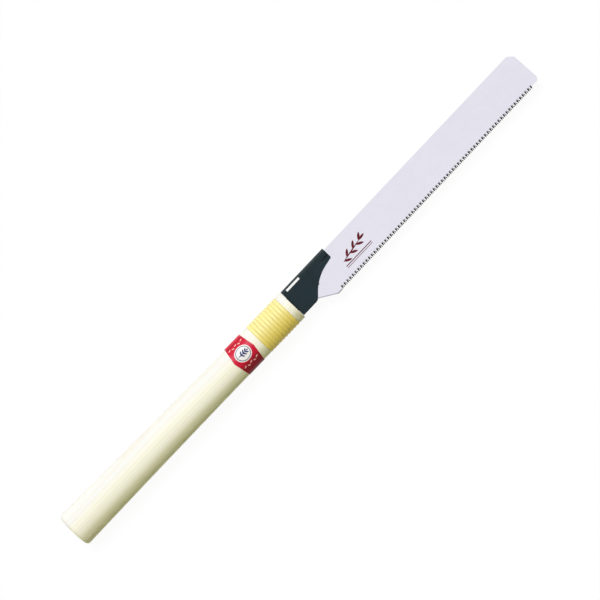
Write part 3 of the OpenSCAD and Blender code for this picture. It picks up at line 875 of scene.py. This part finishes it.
def folded_sheet():
    """The blank bent round the spine, with both skins. Kept for each point: the distance to the nearest
    edge, the depth of the groove and how far the fold has turned towards its crest."""
    columns = blank_columns()
    cheek = cheek_rows(columns)
    turn = np.linspace(0, np.pi, 26)[1:-1]
    fold = np.pad(turn, len(cheek))[:, None]
    side = np.pad(np.cos(turn), len(cheek), constant_values=(1, -1))[:, None]
    crown = FOLD_Y + FOLD_R * np.sin(turn)[:, None] + np.zeros(len(columns))
    y = np.concatenate([cheek, crown, cheek[::-1]])
    x = columns + np.zeros_like(y)
    y = np.where((x < 0) & (fold == 0), y * tail_share(x), y)
    edge = edge_distance(x, y, fold)
    short = np.maximum(EDGE_R - edge, 0)
    half = SHEET_T / 2 - EDGE_R + np.sqrt(EDGE_R ** 2 - short ** 2)
    depth = GROOVE_DEPTH * (1 - (HOLDER_LEN - x) / GROOVE_LEN)
    across = np.minimum(np.abs(y - GROOVE_Y), GROOVE_R)
    press = np.where(fold == 0, depth - GROOVE_R + np.sqrt(GROOVE_R ** 2 - across ** 2), 0)
    press = np.maximum(press, 0)
    bulge = np.sin(fold)
    slanted = x + y * math.tan(CANT) * np.clip(1 - np.abs(x) / (WINDOW_X[0] - EDGE_R), 0, 1)
    outer = holder_place(slanted, y + bulge * (half - press), FOLD_R * side + side * (half - press))
    inner = holder_place(slanted, y - bulge * half, FOLD_R * side - side * half)
    middle = [(grid[:-1, :-1] + grid[1:, 1:]) / 2 for grid in (x, y)]
    flat = (fold[:-1] + fold[1:]) == 0
    window = flat & (beyond(middle[0], WINDOW_X) + beyond(middle[1], WINDOW_Y) == 0)
    tail = flat & (np.abs(middle[1]) < TAIL_H / 2 * tail_share(x[:-1, 1:]))
    points, faces, used = thick_sheet(outer, inner, ~window & ((middle[0] > 0) | tail))
    return points, faces, stack(edge, press, bulge).reshape(-1, 3)[used]


make_piece("holder_sheet", "holder", "holder_coating", SATIN_BLACK, *folded_sheet(), "wear", 50)

# %% [markdown]
# The hook pin crosses the holder and is ground off and coated with it, so only the faint domes of its two
# ends show. A cylinder would flicker where its flat ends lie in the skin of the sheet. A short revolve
# with ends that stand a few hundredths of a millimetre proud doesn't.

# %% Hook pin
PIN_R, PIN_DOME, PIN_EDGE = 1.5, 0.06, 0.12
PIN_RINGS = np.array([0.05, 0.35, 0.65, 0.9, 1.0])
HOLDER_T = SHEET_GAP + 2 * SHEET_T


def domed_pin(columns=48):
    """Rings of a pin from one end to the other: each dome falls off with the square of the radius. Kept
    for each point: it is far from an edge, in no groove and on no fold."""
    radius = PIN_R * PIN_RINGS
    height = HOLDER_T / 2 + PIN_DOME * (1 - (radius / PIN_R) ** 2) - PIN_EDGE * (radius == PIN_R)
    radius = np.concatenate([radius, radius[::-1]])[:, None]
    height = np.concatenate([-height, height[::-1]])[:, None]
    turn = circle(columns)
    x, y = HOOK[0] + radius * np.cos(turn), HOOK[1] + radius * np.sin(turn)
    points, faces = capped_tube(holder_place(x, y, height))
    return points, faces, np.tile([1.0, 0.0, 0.0], (len(points), 1))


make_piece("hook_pin_domed", "hook_pin", "holder_coating", SATIN_BLACK, *domed_pin(), "wear")

# %% [markdown]
# The blade is right as it is in the frame: a flat plate with teeth that are bent and filed one by one.
# It only needs its finish. A Mapping node turns Object coordinates into millimetres along the blade's own
# edge, so the fine grinding lines run true, the teeth can be dark from hardening, and the print sits where
# it should: a leafy branch over two rules. The heat of hardening ran up from each tooth, so the dark ends
# in scallops. The bevel at the back of a tooth was filed bright after that. From either side it shows on
# every second tooth. A fine dark line of painted shade runs inside the cut edges of the heel and the tip.
# Under the fold the steel is painted brighter, as painted light that lifts the shade in the window.

# %% Satin ground steel
POINT_Y = -22.3
HARD_EDGE = (2.1, 3.5)
TEETH_X, TEETH = (39.9, 279.6), 141
TOOTH_GAP = (TEETH_X[1] - TEETH_X[0]) / TEETH
SCALLOPS = [(TOOTH_GAP, 0.75, 0.35), (2 * TOOTH_GAP, 1.3, 0.5)]
FILED_FACING, FILED_BACK = (-0.32, -0.27), (0.15, 0.4)
HEEL_X, HEEL_SLOPE = 34.3, math.radians(33)
TIP_X, TIP_LEAN = 288.9, math.radians(1.8)
# Painted shade: width and strength of the dark line inside the cut edges.
RIM = 0.5
# Painted light: where the steel under the fold is brightened.
WINDOW_LIGHT_X, WINDOW_LIGHT_Y = (21.5, 23.5), (9.0, 10.5)
HEEL_DARK, LAND_DARK, TIP_DARK = 0.6, 0.95, 0.06
GRINDING = (0.06, 9.0, 1.0)
BRANCH_FOOT, BRANCH_TURN, BRANCH_LEN, BRANCH_W = (56.0, -6.8), 9.0, 27.0, 0.6
LEAF_COUNT, LEAF_STEP, FIRST_STEP, LEAF_TURN = 6, 4.4, 0.4, 36.0
LEAF_LEN, LEAF_W, LAST_LEAF_W, LAST_LEAF_BACK = 7.6, 1.2, 1.1, 3.0
RULES = [(-11.6, -10.8), (-13.2, -12.7)]
RULE_X = (56.0, 87.0)


def blade_place(tree):
    """Millimetres in the holder's axes, along the blade: holder_place undone by a texture's mapping."""
    inputs = {"Location": HOLDER_AT, "Rotation": (0, 0, CANT), "Scale": (MM, MM, MM)}
    inputs["Vector"] = object_point(tree)
    return add_node("ShaderNodeMapping", inputs, vector_type="TEXTURE")[0]


def branch_leaves():
    """A stem, leaves set off it to either side in turn at even steps, and one last leaf at its end."""
    foot = np.array(BRANCH_FOOT)
    way = heading(math.radians(BRANCH_TURN))
    leaves = [(*foot, BRANCH_TURN, BRANCH_LEN, BRANCH_W)]
    for number in range(LEAF_COUNT):
        at = foot + way * LEAF_STEP * (number + FIRST_STEP)
        lean = LEAF_TURN if number % 2 else -LEAF_TURN
        leaves.append((*at, BRANCH_TURN + lean, LEAF_LEN, LEAF_W))
    end = foot + way * (BRANCH_LEN - LAST_LEAF_BACK)
    return leaves + [(*end, BRANCH_TURN, LEAF_LEN, LAST_LEAF_W)]


def heat_height(part):
    """Height above the points, less the scallops of the hardening: cosine waves of one tooth and of two."""
    height = add_sum("SUBTRACT", part["Y"], POINT_Y)
    for length, crest, size in SCALLOPS:
        turn = 2 * math.pi / length
        angle = add_sum("MULTIPLY_ADD", part["X"], turn, -turn * (TEETH_X[0] + crest))
        height = add_sum("MULTIPLY_ADD", add_sum("COSINE", angle), -size, height)
    return height


def filed_bevel(tree, part):
    """1 on the bevel at the back of a tooth: the one facet of the teeth that leans this far to the edge."""
    back = add_sum("DIVIDE", add_sum("SUBTRACT", part["X"], TEETH_X[0]), TOOTH_GAP)
    back = add_ramp(add_sum("FRACT", back), *FILED_BACK)
    return times(add_ramp(facing(tree, "Y"), *FILED_FACING, 1.0, 0.0), back)


def painted_edge_shade(part):
    """Painted shade: a fine dark line inside the cut edges, by the distance to the heel's slope, its land or
    the leaning tip.
    """
    up = add_sum("SUBTRACT", part["Y"], POINT_Y)
    slope = times(add_sum("SUBTRACT", part["X"], HEEL_X), math.sin(HEEL_SLOPE))
    slope = add_sum("MULTIPLY_ADD", up, math.cos(HEEL_SLOPE), slope)
    tip = add_sum("SUBTRACT", TIP_X, add_sum("MULTIPLY_ADD", up, math.tan(TIP_LEAN), part["X"]))
    edges = [(up, LAND_DARK), (slope, HEEL_DARK), (tip, TIP_DARK)]
    land, *ends = [add_ramp(way, RIM, 2 * RIM, most, 0.0) for way, most in edges]
    before_teeth = add_ramp(part["X"], TEETH_X[0] - RIM, TEETH_X[0], 1.0, 0.0)
    return largest([times(land, before_teeth), *ends])


def satin_steel():
    material, tree = new_material("satin_steel")
    place = blade_place(tree)
    part = split(place)
    lines = add_noise(add_vector("MULTIPLY", place, GRINDING)[0], 1.0, 3.0, 0.6)
    cloud = place_group(CLOUDS, Vector=object_point(tree), Size=0.05)["Cloud"]
    hard = add_ramp(heat_height(part), *HARD_EDGE, 1.0, 0.0)
    hard = times(hard, band(part["X"], *TEETH_X, 0.1))
    hard_colour = add_mix(filed_bevel(tree, part), (0.008, 0.0077, 0.009), (0.90, 0.89, 0.94))
    rules = largest([band(part["Y"], *rule, 0.1) for rule in RULES])
    rules = times(rules, band(part["X"], *RULE_X, 0.3))
    top = add_ramp(part["Z"], 0.0, 0.1)
    ink = times(largest([rules, leaf_marks(place, branch_leaves())]), top)
    # Painted light: the steel under the fold and its window is brightened.
    painted_window_light = add_ramp(part["X"], *WINDOW_LIGHT_X, 1.0, 0.0)
    painted_window_light = times(painted_window_light, add_ramp(part["Y"], *WINDOW_LIGHT_Y))
    colour = add_layers(
        (0.772, 0.757, 0.845),
        (cloud, (0.798, 0.783, 0.865)),
        (add_ramp(lines, 0.3, 0.75, 0.0, 0.35), (0.72, 0.71, 0.79)),
        (painted_window_light, (0.985, 0.99, 0.975)),
        (painted_edge_shade(part), (0.10, 0.10, 0.12)),
        (hard, hard_colour),
        (ink, (0.12, 0.006, 0.014)),
    )
    return finished(material, {
        "Base Color": colour,
        "Metallic": add_sum("SUBTRACT", 1.0, ink),
        "Roughness": add_ramp(lines, 0.25, 0.75, 0.22, 0.30),
        "Normal": add_bump(lines, 0.000004),
        "Specular IOR Level": 0.2,
    })


def dress_node(name, material):
    """A node of the frame whose shape is right gets its finish."""
    mesh = frame["nodes"][name].data
    mesh.materials.clear()
    mesh.materials.append(material)
    print(name, "wears", material.name)


dress_node("blade", satin_steel())

# %% [markdown]
# Three small pieces sit inside the handle and hold the tails of the holder: a liner, two rivets and a
# cross pin. They only show when the saw is taken apart, and are plain drawn steel with a few clouds of
# handling and a fine lengthwise draw.

# %% Bright steel inside
def bright_steel():
    material, tree = new_material("bright_steel")
    point = object_point(tree)
    fibres = place_group(FIBRES, Vector=point, Length=0.008, Width=0.0002)
    cloud = place_group(CLOUDS, Vector=point, Size=0.01)["Cloud"]
    colour = add_mix(cloud, (0.56, 0.56, 0.57), (0.66, 0.66, 0.67))
    return finished(material, {
        "Base Color": add_mix(fibres["Streak"], colour, (0.48, 0.48, 0.50)),
        "Roughness": add_ramp(fibres["Streak"], 0.3, 0.7, 0.28, 0.42),
        "Metallic": 1.0,
    })


BRIGHT_STEEL = bright_steel()
for inner_name in ("tang_liner", "tang_rivets", "tang_pin"):
    dress_node(inner_name, BRIGHT_STEEL)

# %% [markdown]
# The saw lies on a white floor under a white sky. What the camera and mirrors see of both is plain white,
# while the light that they throw on the saw is much weaker. A Light Path node tells the two apart. The
# floor adds a little true shading to its white, so that it keeps the saw's soft shadow.

# %% White floor and sky
FLOOR_HALF = 4.0
FLOOR_GLOW, FLOOR_SHADE = 0.95, 0.05
FLOOR_BOUNCE = (0.93, 0.93, 0.82, 1)
SKY_LIGHT = (0.15, 0.165, 0.03)
scene = bpy.context.scene


def seen_rays(tree):
    """1 for rays from the camera, from mirrors and through glass, 0 for light on a surface."""
    path = add_node("ShaderNodeLightPath", {}, tree)
    return largest([path["Is Camera Ray"], path["Is Glossy Ray"], path["Is Transmission Ray"]])


def white_floor():
    material, tree = new_material("white_floor")
    tree.nodes.clear()
    dull = add_node("ShaderNodeBsdfDiffuse", {"Color": FLOOR_BOUNCE}, tree)[0]
    shade = add_node("ShaderNodeBsdfDiffuse", {"Color": (FLOOR_SHADE,) * 3 + (1,)}, tree)[0]
    glow = add_node("ShaderNodeEmission", {"Strength": FLOOR_GLOW}, tree)[0]
    white = add_node("ShaderNodeAddShader", {0: shade, 1: glow})[0]
    mixed = add_node("ShaderNodeMixShader", {0: seen_rays(tree), 1: dull, 2: white})[0]
    add_node("ShaderNodeOutputMaterial", {"Surface": mixed})
    return material


def white_sky():
    world = bpy.data.worlds.new("white_sky")
    world.use_nodes = True
    tree = world.node_tree
    tree.nodes.clear()
    colour = add_mix(seen_rays(tree), SKY_LIGHT, (1.0, 1.0, 1.0))
    add_node("ShaderNodeOutputWorld", {"Surface": add_node("ShaderNodeBackground", {"Color": colour})[0]})
    return world


floor_z = cad_box[0][2]
sides = [(-1, -1), (1, -1), (1, 1), (-1, 1)]
floor_corners = [(x * FLOOR_HALF, y * FLOOR_HALF, floor_z) for x, y in sides]
floor_mesh = bpy.data.meshes.new("floor")
floor_mesh.from_pydata(floor_corners, [], [(0, 1, 2, 3)])
floor_mesh.materials.append(white_floor())
floor = bpy.data.objects.new("floor", floor_mesh)
scene.collection.objects.link(floor)
scene.world = white_sky()
print("floor at", floor_z)

# %% [markdown]
# One broad soft lamp lights the saw from the side of its spine, a third of the way down the sky. On the
# round handle it leaves a bright upper flank and a soft grey one below, which gives the wood its form. It
# is hung as two: one gives the light and the other the sheen on lacquer, film and coat. The sheen passes
# the blade by, because bare steel would throw the lamp back as a white glare. The lamp is a little blue
# and the sky's light yellow, so together they are white on top, and what turns from the lamp is warm. The
# camera hangs straight above with a long lens, turned so that the saw lies along the picture's diagonal.

# %% Lamp and camera
KEY_TILT = math.radians(30)
KEY_SPREAD = math.radians(30)
KEY_STRENGTH = 3.0
KEY_COLOUR = (0.98, 1.0, 1.16)
SAW_TURN = math.radians(45.918)
PICTURE_WIDTH = 0.520
PICTURE_FROM_PIN = (0.00077, -0.01026)
CAMERA_UP = 3.0
SENSOR = 36.0


def hang_lamp(name, **rays):
    """A lamp as far as the sun, leaning to the spine's side. Each kind of ray named sees it or doesn't."""
    lamp = bpy.data.objects.new(name, bpy.data.lights.new(name, "SUN"))
    lamp.data.energy = KEY_STRENGTH
    lamp.data.color = KEY_COLOUR
    lamp.data.angle = KEY_SPREAD
    lamp.rotation_euler = (-KEY_TILT, 0, 0)
    for ray, seen in rays.items():
        setattr(lamp, ray, seen)
    scene.collection.objects.link(lamp)
    return lamp


def pass_by(lamp, piece):
    """The lamp lights everything but this piece."""
    left_out = bpy.data.collections.new(lamp.name + "_left_out")
    left_out.objects.link(piece)
    left_out.collection_objects[0].light_linking.link_state = "EXCLUDE"
    lamp.light_linking.receiver_collection = left_out


hang_lamp("key_lamp", visible_glossy=False)
pass_by(hang_lamp("sheen_lamp", visible_diffuse=False), frame["nodes"]["blade"])

camera = bpy.data.objects.new("camera", bpy.data.cameras.new("camera"))
camera.data.sensor_width = SENSOR
camera.data.lens = SENSOR * CAMERA_UP / PICTURE_WIDTH
camera.location = PIN_AT + (*PICTURE_FROM_PIN, CAMERA_UP)
camera.rotation_euler = (0, 0, -SAW_TURN)
scene.collection.objects.link(camera)
scene.camera = camera
scene.view_settings.view_transform = "Standard"
print(f"camera lens {camera.data.lens:.1f} mm")
